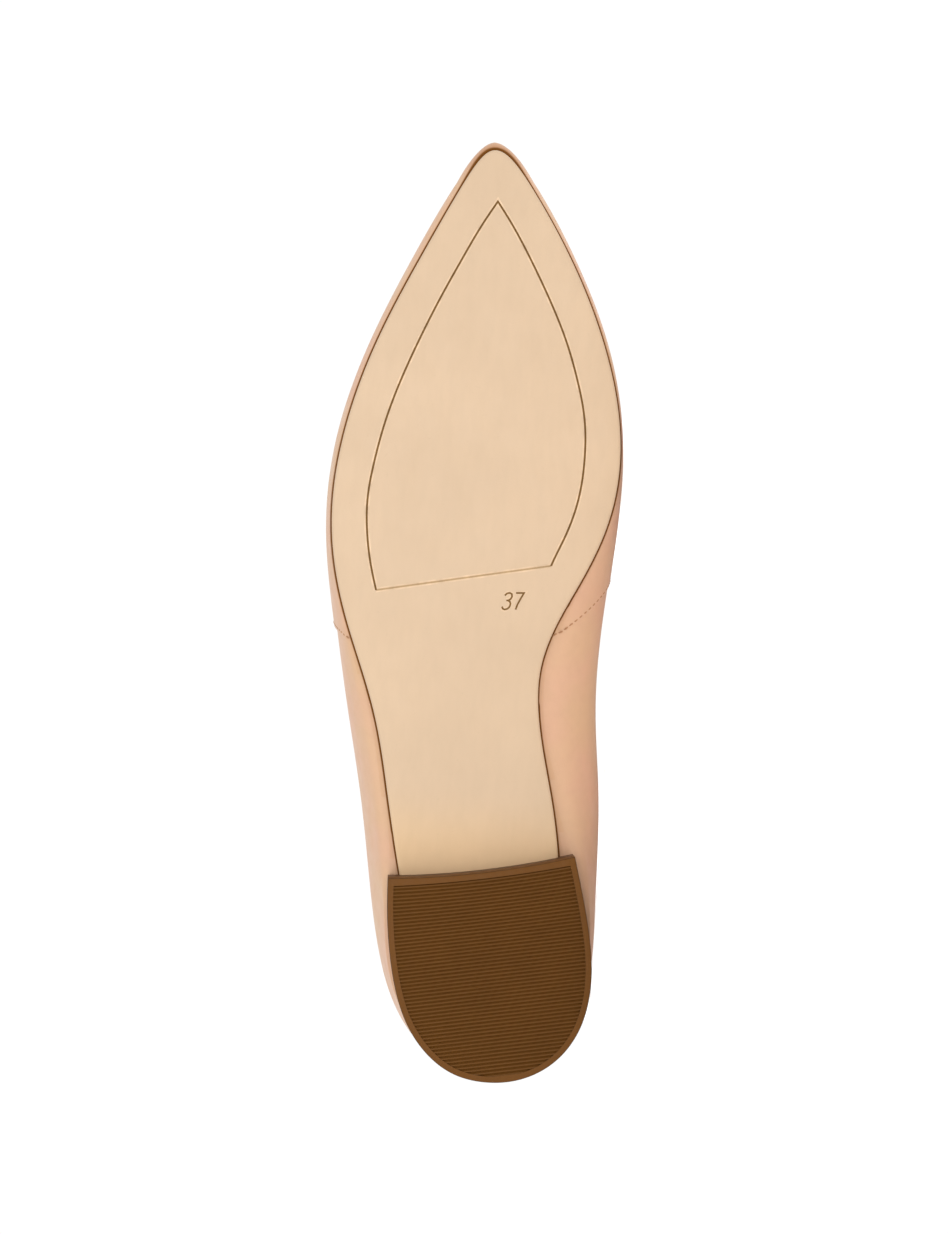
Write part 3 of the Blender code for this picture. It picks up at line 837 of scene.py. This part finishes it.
def make_upper():
    base = Shape()
    inside, steps, lines, toe_shadings = [], [], [], []
    for side in (1, -1):
        foot, top = wall_columns(side)
        x, level = wall_grid(side, foot, top)
        points = softened(wall(side, x, level), foot)
        start = base.add_points(points)
        inside.append(wall(side, x, level, WALL).reshape(-1, 3))
        steps.append((seam_step(side, foot)[:, None] * np.clip(level, 0.0, 1.0)).ravel())
        # Distance to the sole's line, which the material paints dark as edge dye and painted crevice shadow.
        past = np.where(level < 1, past_sole(side, points), FAR)
        lines.append(past.ravel())
        # Painted shade at the toe: darkest at the sole's line, fading up the wall and away from the tip.
        low = np.clip((1 - level) / TOE_SHADE_FADE, 0.0, 1.0)
        toe_shadings.append((TOE_SHADE_SHARE * toe_share(points) * low * np.exp(-(past / TOE_SHADE_WIDE) ** 2)).ravel())
        base.add_grid(start, *x.shape, turned=side > 0)
    first, _ = coinciding(base.points)
    inner, step, line, toe_shading = [np.concatenate(parts)[first] for parts in (inside, steps, lines, toe_shadings)]
    merged = base.merged()
    points = np.array(merged.points)
    normals = point_normals(points, merged.faces)
    outer = points + normals * step[:, None]
    whole = Shape()
    whole.add_points(outer)
    shift = whole.add_points(inner)
    for face in merged.faces:
        whole.add_face(face, MATT_EDGE if line[face].min() < LINE_REACH else NUDE_LEATHER)
        whole.add_face([c + shift for c in reversed(face)], LINING)
    for loop in rim_loops(merged.faces):
        ring = outer[loop]
        along = np.roll(ring, -1, axis=0) - np.roll(ring, 1, axis=0)
        away = unit(np.cross(along, normals[loop]))
        middle = (ring + inner[loop]) / 2
        half = (ring - inner[loop]) / 2
        radius = np.linalg.norm(half, axis=1, keepdims=True)
        rings = [loop]
        for k in range(1, ROUND_FACES):
            angle = math.pi * k / ROUND_FACES
            out = away * radius * RIM_ROUND * math.sin(angle)
            start = whole.add_points(middle + half * math.cos(angle) + out)
            rings.append(range(start, start + len(loop)))
        rings.append([c + shift for c in loop])
        for near, far in zip(rings, rings[1:]):
            whole.add_band(far, near, NUDE_LEATHER)
    mesh = whole.mesh("upper_leather")
    for name, values, rest in (("dye_and_shade_line", line, FAR), ("painted_toe_shade", toe_shading, 0.0)):
        layer = mesh.attributes.new(name, "FLOAT", "POINT")
        full = np.full(len(whole.points), rest)
        full[:len(values)] = values
        layer.data.foreach_set("value", full)
    materials = (
        upper_material("upper_leather", 0.35),
        lining_material(),
        upper_material("upper_edge", 0.05),
    )
    place_piece("upper_shell", mesh, materials, "upper", SHARP_WALL)


# Flat pieces.

def plate_rows(curves, start, stop, shares):
    """Edge points, inner and outer, from the back of a flat piece to its front; start and stop are given for
    the inner and the outer side."""
    edges = []
    for side, back, front in ((1, start[0], stop[0]), (-1, start[1], stop[1])):
        x = back + (front - back) * shares
        edges.append(np.stack([x, side_width(curves, side, x)], axis=-1))
    return edges


def drawn_in(edges, distance):
    """The edges with their outline drawn in by a distance."""
    inner, outer = edges
    count = len(inner)
    loop = np.concatenate([inner, outer[::-1]])
    ids = list(range(2 * count))
    if np.linalg.norm(inner[-1] - outer[-1]) < MERGE:
        ids.remove(count)
    if np.linalg.norm(inner[0] - outer[0]) < MERGE:
        ids.remove(2 * count - 1)
    points = loop[ids]
    before = unit(points - np.roll(points, 1, axis=0))
    moved = loop.copy()
    moved[ids] = points + mitre(before, np.roll(before, -1, axis=0), -1) * distance
    if count not in ids:
        moved[count] = moved[count - 1]
    if 2 * count - 1 not in ids:
        moved[2 * count - 1] = moved[0]
    return moved[:count], moved[count:][::-1]


def plate_grid(edges, height, away, back_line=None, front_line=None):
    """Points across each row; an end row lies on a given line, or that far away from it."""
    inner, outer = edges
    share = np.linspace(0.0, 1.0, CROSS_FACES + 1)[None, :, None]
    plan = inner[:, None] * (1 - share) + outer[:, None] * share
    middle = (inner[:, 0] + outer[:, 0]) / 2
    for line, end, sign in ((back_line, 0, 1), (front_line, -1, -1)):
        if line:
            fade = np.clip(1 - np.abs(middle - middle[end]) / END_REACH, 0.0, 1.0) ** 2
            plan[..., 0] += fade[:, None] * (line(plan[end, :, 1]) + sign * away - plan[end, :, 0])
    return np.concatenate([plan, height(plan[..., 0])[..., None]], axis=-1)


def rim_ids(start, rows, across):
    """Point numbers round the edge of a grid."""
    at = [[start + i * across + j for j in range(across)] for i in range(rows)]
    ids = [line[0] for line in at]
    ids += at[-1][1:-1]
    ids += [line[-1] for line in reversed(at)]
    ids += at[0][-2:0:-1]
    return ids


def plate(levels, kinds, **lines):
    """A closed shape through stacked outlines, from the bottom up, each given as edges, a height and how far
    its end keeps from the end line. The kinds are the materials of the underside, of each band of the side
    and of the top."""
    shape = Shape()
    rims = []
    for k, (edges, height, away) in enumerate(levels):
        grid = plate_grid(edges, height, away, **lines)
        rows, across = grid.shape[:2]
        start = shape.add_points(grid)
        rims.append(rim_ids(start, rows, across))
        if k == 0:
            shape.add_grid(start, rows, across, kinds[0])
        if k == len(levels) - 1:
            shape.add_grid(start, rows, across, kinds[-1], turned=True)
    for k, (low, high) in enumerate(zip(rims, rims[1:])):
        shape.add_band(low, high, kinds[k + 1])
    return shape.merged()


def flat(height):
    """The same height everywhere."""
    return lambda x: 0.0 * x + height


def rounded(edges, radius, base, sign=1):
    """Outlines round a quarter circle from the flat at a base height to the side."""
    levels = []
    for k in range(ROUND_FACES + 1):
        angle = math.pi / 2 * k / ROUND_FACES
        away = radius * (1 - math.sin(angle))
        rise = sign * radius * (1 - math.cos(angle))
        levels.append((drawn_in(edges, away), lambda x, rise=rise: base(x) + rise, 0.0))
    return levels


# Materials of the outsole, by number.
LEATHER, EDGE, DEEP, FAINT, LIP = range(5)


def trench(path, half, depth, kind):
    """A cutter along a path on the sole's underside: a groove with a shallow lip on both sides."""
    path = np.asarray(path, float)
    steps = unit(np.diff(path, axis=0))
    across = mitre(np.concatenate([steps[:1], steps]), np.concatenate([steps, steps[-1:]]), 1)
    shape = Shape()
    rings = []
    full = half + LIP_WIDE
    side = ((full, -CUT_OUTSIDE), (full, LIP_EDGE), (half, LIP_DEPTH), (half * GROOVE_FLOOR, depth))
    section = [(-offset, rise) for offset, rise in side] + list(side[::-1])
    for offset, rise in section:
        plan = path + across * offset
        height = sole_bottom(plan[:, 0]) + rise
        rings.append(shape.add_points(np.concatenate([plan, height[:, None]], axis=1)))
    count = len(path)
    kinds = (LIP, LIP, kind, kind, kind, LIP, LIP, LIP)
    for a, b, band in zip(rings, rings[1:] + rings[:1], kinds):
        for i in range(count - 1):
            shape.add_face([a + i, a + i + 1, b + i + 1, b + i], band)
    shape.add_face(rings, kind)
    shape.add_face([ring + count - 1 for ring in reversed(rings)], kind)
    return shape


def engraving_cutters():
    """Cutters of the engraved line and of the stamped number."""
    stations = np.linspace(GROOVE[0].x, GROOVE[-1].x, GROOVE_POINTS)
    outer = np.stack([stations, -groove["outer"](stations)], axis=-1)
    stations = np.linspace(GROOVE[-1].x, GROOVE_BACK_INNER, GROOVE_INNER_POINTS)[1:]
    inner = np.stack([stations, groove["inner"](stations)], axis=-1)
    share = np.linspace(0.0, 1.0, GROOVE_BACK_POINTS)[:, None]
    back = inner[-1] * (1 - share) + outer[0] * share
    cutters = [
        trench(back, GROOVE_BACK_HALF, GROOVE_BACK_DEPTH, FAINT),
        trench(np.concatenate([outer, inner]), GROOVE_HALF, GROOVE_DEPTH, DEEP),
    ]
    for stroke in NUMBER:
        stroke = np.array(stroke)
        x = NUMBER_PLACE[0] + stroke[:, 1] * NUMBER_HEIGHT
        y = NUMBER_PLACE[1] + (stroke[:, 0] + stroke[:, 1] * NUMBER_LEAN) * NUMBER_HEIGHT
        cutters.append(trench(np.stack([x, y], axis=-1), NUMBER_HALF, NUMBER_DEPTH, DEEP))
    return cutters


def cut_away(mesh, cutters):
    """The mesh with the cutters' shapes taken out of it, their walls in the cutters' materials."""
    body = add_object("body", mesh)
    tools = []
    for shape in cutters:
        tool_mesh = shape.mesh("tool")
        for material in mesh.materials:
            tool_mesh.materials.append(material)
        tool = add_object("tool", tool_mesh)
        tools.append(tool)
        cut = body.modifiers.new("cut", "BOOLEAN")
        cut.operation = "DIFFERENCE"
        cut.solver = "EXACT"
        cut.material_mode = "INDEX"
        cut.object = tool
    graph = bpy.context.evaluated_depsgraph_get()
    result = bpy.data.meshes.new_from_object(body.evaluated_get(graph))
    for item in [body] + tools:
        bpy.data.objects.remove(item, do_unlink=True)
    return result


def make_outsole():
    corner = [breast(side_width(sole, side, BREAST_MID)) + GAP for side in (1, -1)]
    shares = np.sin(np.pi / 2 * np.arange(PLATE_ROWS + 1) / PLATE_ROWS)
    edges = plate_rows(sole, corner, (SOLE_TIP, SOLE_TIP), shares)
    levels = rounded(edges, EDGE_ROUND, sole_bottom)
    stain_from = SOLE_THICK * EDGE_STAIN
    levels += [(edges, lambda x: sole_bottom(x) + stain_from, 0.0), (edges, bed, 0.0)]
    kinds = [LEATHER] * (ROUND_FACES + 2) + [EDGE, EDGE]
    shape = plate(levels, kinds, back_line=lambda y: breast_line(y) + BREAST_GAP)
    mesh = shape.mesh("sole_leather")
    materials = (
        sole_material(),
        edge_material(),
        groove_material("engraving", ENGRAVED),
        groove_material("faint_engraving", ENGRAVED_FAINT),
        groove_material("engraving_lip_highlight", shade(PALE_SOLE, LIP_HIGHLIGHT)),
    )
    for material in materials:
        mesh.materials.append(material)
    mesh = cut_away(mesh, engraving_cutters())
    mesh.name = "sole_leather"
    place_piece("leather_sole", mesh, materials, "outsole", SHARP_PLATE)


def heel_edges():
    corner = [breast(side_width(lift, side, BREAST_MID)) for side in (1, -1)]
    shares = 1 - np.cos(np.pi / 2 * np.arange(HEEL_ROWS + 1) / HEEL_ROWS)
    return plate_rows(lift, (0.0, 0.0), corner, shares)


def make_heel():
    edges = heel_edges()
    levels = [(edges, flat(LIFT_THICK + GAP), 0.0), (edges, bed, 0.0)]
    shape = plate(levels, [0] * (len(levels) + 1), front_line=breast_line)
    mesh = shape.mesh("heel_block")
    place_piece("heel_block", mesh, (heel_material(),), "heel", SHARP_PLATE)


# Materials of the top lift, by number; the ribbed field and the rim take the place of its flat underside.
RIM_RUBBER, RIB_RUBBER, BEVEL_RUBBER, UNDERSIDE = range(4)


def tread_field(edges):
    """Rows of the ribbed field inside the top lift's rim: their two ends, depth and sag in the middle."""
    inner, outer = drawn_in(edges, RIM)
    size = math.hypot(1.0, BREAST_SLANT)
    chains = []
    for chain in (inner, outer):
        behind = (BREAST_MID + BREAST_SLANT * chain[:, 1] - chain[:, 0]) / size
        along = (chain[:, 1] + BREAST_SLANT * (chain[:, 0] - BREAST_MID)) / size
        order = np.argsort(behind)
        chains.append((behind[order], along[order]))
    deepest = min(chain[0][-1] for chain in chains) - FIELD_END
    count = int((deepest - RIM_FRONT) / RIB_PITCH * RIB_FACES)
    behind = RIM_FRONT + np.arange(count + 1) * RIB_PITCH / RIB_FACES
    groove_share = 0.5 + 0.5 * np.cos(2 * np.pi * (behind - RIM_FRONT) / RIB_PITCH)
    depth = RIB_TOP + RIB_DEPTH * groove_share ** RIB_FLAT
    ends = []
    for chain_behind, chain_along in chains:
        along = np.interp(behind, chain_behind, chain_along)
        x = BREAST_MID + (BREAST_SLANT * along - behind) / size
        y = (along + BREAST_SLANT * behind) / size
        ends.append(np.stack([x, y], axis=-1))
    sag = RIM_SAG * np.clip(1 - (behind - RIM_FRONT) / SAG_FADE, 0.0, 1.0)
    return ends, depth, sag


def make_top_lift():
    edges = heel_edges()
    between = LIFT_BEVEL * BEVEL_STEP
    outlines = (
        (drawn_in(edges, LIFT_BEVEL), flat(0.0), LIFT_BEVEL),
        (drawn_in(edges, between), flat(between), between),
        (edges, flat(LIFT_BEVEL), 0.0),
        (edges, flat(LIFT_THICK), 0.0),
    )
    kinds = (UNDERSIDE, RIM_RUBBER, BEVEL_RUBBER, RIM_RUBBER, RIM_RUBBER)
    shape = plate(outlines, kinds, front_line=breast_line)
    kept = Shape()
    kept.points = shape.points
    for face, kind in zip(shape.faces, shape.kinds):
        if kind != UNDERSIDE:
            kept.add_face(face, kind)
    loop = max(rim_loops(kept.faces), key=len)
    (inner, outer), depth, sag = tread_field(edges)
    share = np.linspace(0.0, 1.0, FIELD_FACES + 1)[None, :, None]
    plan = inner[:, None] * (1 - share) + outer[:, None] * share
    plan[..., 0] -= sag[:, None] * 4 * share[..., 0] * (1 - share[..., 0])
    rows, across = plan.shape[:2]
    field = np.concatenate([plan, np.broadcast_to(depth[:, None, None], (rows, across, 1))], axis=-1)
    start = kept.add_points(field)
    kept.add_grid(start, rows, across, RIB_RUBBER)
    low = rim_ids(start, rows, across)
    edge = np.array(kept.points)[low]
    edge[:, 2] = 0.0
    rim_start = kept.add_points(edge)
    rim = range(rim_start, rim_start + len(low))
    kept.add_band(low, rim, RIB_RUBBER)
    mesh = kept.mesh("lift_rubber", (loop, rim))
    materials = (
        rubber_material("lift_rim", RIM_BROWN),
        rubber_material("lift_ribs_shaded", SHADED_RIB_BROWN),
        rubber_material("lift_bevel_shaded", SHADED_BEVEL_BROWN),
    )
    place_piece("ribbed_lift", mesh, materials, "top_lift", SHARP_PLATE)


def make_insole():
    shares = 1 - np.cos(np.pi / 2 * np.arange(PLATE_ROWS + 1) / PLATE_ROWS)
    filler = plate_rows(last, (0.0, 0.0), (FILLER_FRONT, FILLER_FRONT), shares)
    filler = drawn_in(filler, MARGIN + TURN_MORE + FILLER_GAP)
    board = plate_rows(last, (0.0, 0.0), (INSOLE_FRONT, INSOLE_FRONT), shares)
    board = drawn_in(board, INSOLE_INSET)
    ledge = GAP + WALL + GAP
    levels = [
        (filler, lambda x: bed(x) + GAP, 0.0),
        (filler, lambda x: bed(x) + ledge, 0.0),
        (board, lambda x: bed(x) + ledge, 0.0),
    ]
    levels += rounded(board, INSOLE_ROUND, lambda x: bed(x) + ledge + INSOLE_THICK, -1)[::-1]
    shape = plate(levels, [0] * (len(levels) + 1))
    mesh = shape.mesh("sock_leather")
    place_piece("sock", mesh, (sock_material(),), "insole", SHARP_PLATE)


# Stitches along the side seams.
STITCH_AWAY = 0.8         # from the vamp's edge
STITCH_PITCH = 1.9
STITCH_LONG = 1.3
STITCH_RADIUS = 0.26
STITCH_FLAT = 0.8         # height of a stitch as a share of its width
STITCH_TAPER = 0.06       # how blunt its ends are
STITCH_DIP = 0.10         # its ends dip into the leather
STITCH_SINK = 0.06        # and all of it lies this much deeper
STITCH_START = 0.3        # bare ends of the row
STITCH_END = 1.5
STITCH_SLIDE = 1.2        # under the foot the row runs back by this much to the sole's edge
STITCH_SIDES = 8
STITCH_RINGS = 6
PROBE = 0.2               # step along the shoe that gives the wall's direction


def stitch_line(side):
    """Points and outward directions along the row of stitches on the vamp's edge."""
    seam_foot, seam_top = seam_ends(side)
    foot = seam_foot + SEAM_WIDTH + STITCH_AWAY
    share = STITCH_AWAY / (THROAT - seam_foot - SEAM_WIDTH)
    top = THROAT - (THROAT - seam_top - SEAM_WIDTH) * (1 - share) ** 2
    x, level = wall_grid(side, np.array([foot]), np.array([top]))
    x, level = x[0, UNDER_ROWS:], level[0, UNDER_ROWS:]
    bare = side * (side_width(last, side, foot) - side_width(sole, side, foot))
    if bare > STITCH_LONG:
        x = np.concatenate([[foot - STITCH_SLIDE], x])
        level = np.concatenate([[-bare / MARGIN], level])
    fine = np.linspace(0, len(x) - 1, STITCH_POINTS)
    x = np.interp(fine, np.arange(len(x)), x)
    level = np.interp(fine, np.arange(len(level)), level)
    here = wall(side, x, level)
    ahead = wall(side, x + PROBE, level) - here
    up = np.gradient(here, axis=0)
    out = unit(np.cross(up, ahead) * side)
    step = seam_step(side, np.array([foot]))[0] * np.clip(level, 0.0, 1.0)
    return here + out * step[:, None], out


def make_stitches():
    shape = Shape()
    turn = (2 * np.pi * np.arange(STITCH_SIDES) / STITCH_SIDES)[:, None]
    swell = np.sqrt(np.sin(np.pi * np.linspace(STITCH_TAPER, 1 - STITCH_TAPER, STITCH_RINGS + 1)))
    for side in (1, -1):
        line, out = stitch_line(side)
        run = np.concatenate([[0.0], np.cumsum(np.linalg.norm(np.diff(line, axis=0), axis=1))])
        start = STITCH_START
        while start + STITCH_LONG < run[-1] - STITCH_END:
            places = np.linspace(start, start + STITCH_LONG, STITCH_RINGS + 1)
            centre = np.stack([np.interp(places, run, line[:, k]) for k in range(3)], axis=-1)
            normal = unit(np.stack([np.interp(places, run, out[:, k]) for k in range(3)], axis=-1))
            along = unit(np.gradient(centre, axis=0))
            across = np.cross(along, normal)
            centre = centre + normal * (STITCH_DIP * (swell - 1) - STITCH_SINK)[:, None]
            rings = []
            for i in range(STITCH_RINGS + 1):
                circle = np.cos(turn) * across[i] + np.sin(turn) * normal[i] * STITCH_FLAT
                first = shape.add_points(centre[i] + circle * STITCH_RADIUS * swell[i])
                rings.append(range(first, first + STITCH_SIDES))
            for low, high in zip(rings, rings[1:]):
                shape.add_band(low, high)
            shape.add_face(rings[0][::-1])
            shape.add_face(rings[-1])
            start += STITCH_PITCH
    mesh = shape.mesh("stitches")
    place_piece("side_stitches", mesh, (thread_material(),), None, SHARP_THREAD)


# Studio; its lights and its floor are in metres and watts.
IMAGE_HIGH = 1234         # in pixels
PIXELS_PER_MM = 3.55
SENSOR_HIGH = 24.0
CAMERA_AWAY = 1000.0      # from the sole
CAMERA_HEIGHT = 1.5       # just over the floor
VIEW_CENTRE = Vector((131.2, -6.0, 0.0))
Light = namedtuple("Light", "name place wide high watts")
LIGHTS = (
    Light("key", (-0.4, -1.4, 1.3), 1.3, 1.3, 3.0),
    Light("front", (0.1, -1.9, 0.3), 1.4, 1.2, 5.5),
    Light("low", (0.1, -1.7, 0.045), 1.2, 0.08, 3.0),
)
LIT_POINT = Vector((0.0, 0.0, 0.04))
FLOOR_HALF = 8.0
FLOOR_FACES = 8
FLOOR_DROP = 0.0001       # keeps the floor just under the shoe
FLOOR_GREYS = ((0.83, 0.83, 0.825), (0.85, 0.85, 0.845))
FLOOR_GLOW = 0.3
BACKGROUND = 0.9
EXPOSURE = 0.2
WHITE = (1.0, 1.0, 1.0, 1.0)


def make_camera():
    data = bpy.data.cameras.new("camera")
    data.sensor_fit = "VERTICAL"
    data.sensor_height = SENSOR_HIGH
    data.lens = data.sensor_height * CAMERA_AWAY * PIXELS_PER_MM / IMAGE_HIGH
    data.dof.use_dof = False
    camera = add_object("camera", data)
    target = LYING @ (VIEW_CENTRE * MM)
    toe = LYING.to_3x3() @ Vector((1.0, 0.0, 0.0))
    place = target + LYING.to_3x3() @ Vector((0.0, 0.0, -CAMERA_AWAY * MM))
    place.z = CAMERA_HEIGHT * MM
    ahead = (target - place).normalized()
    right = ahead.cross(toe).normalized()
    up = right.cross(ahead)
    turn = Matrix((right, up, -ahead)).transposed()
    camera.matrix_world = Matrix.Translation(place) @ turn.to_4x4()
    bpy.context.scene.camera = camera


def make_light(light):
    data = bpy.data.lights.new(light.name, "AREA")
    data.shape = "RECTANGLE"
    data.size = light.wide
    data.size_y = light.high
    data.energy = light.watts
    lamp = add_object(light.name, data)
    lamp.location = light.place
    lamp.rotation_euler = (LIT_POINT - Vector(light.place)).to_track_quat("-Z", "Y").to_euler()


def make_studio():
    bm = bmesh.new()
    bmesh.ops.create_grid(bm, x_segments=FLOOR_FACES, y_segments=FLOOR_FACES, size=FLOOR_HALF)
    mesh = bpy.data.meshes.new("floor")
    bm.to_mesh(mesh)
    bm.free()
    paint = mottled("floor", 0.7, 0.2, (900.0, 2.0), *FLOOR_GREYS)
    paint.shader.inputs["Emission Color"].default_value = WHITE
    paint.shader.inputs["Emission Strength"].default_value = FLOOR_GLOW
    mesh.materials.append(paint.material)
    floor = add_object("floor", mesh)
    floor.location.z = -FLOOR_DROP
    world = bpy.data.worlds.new("studio")
    world.use_nodes = True
    background = world.node_tree.nodes["Background"]
    background.inputs["Color"].default_value = WHITE
    background.inputs["Strength"].default_value = BACKGROUND
    bpy.context.scene.world = world
    for light in LIGHTS:
        make_light(light)
    view = bpy.context.scene.view_settings
    view.view_transform = "Standard"
    view.look = "None"
    view.exposure = EXPOSURE
    view.gamma = 1.0


make_upper()
make_outsole()
make_heel()
make_top_lift()
make_insole()
make_stitches()
make_camera()
make_studio()
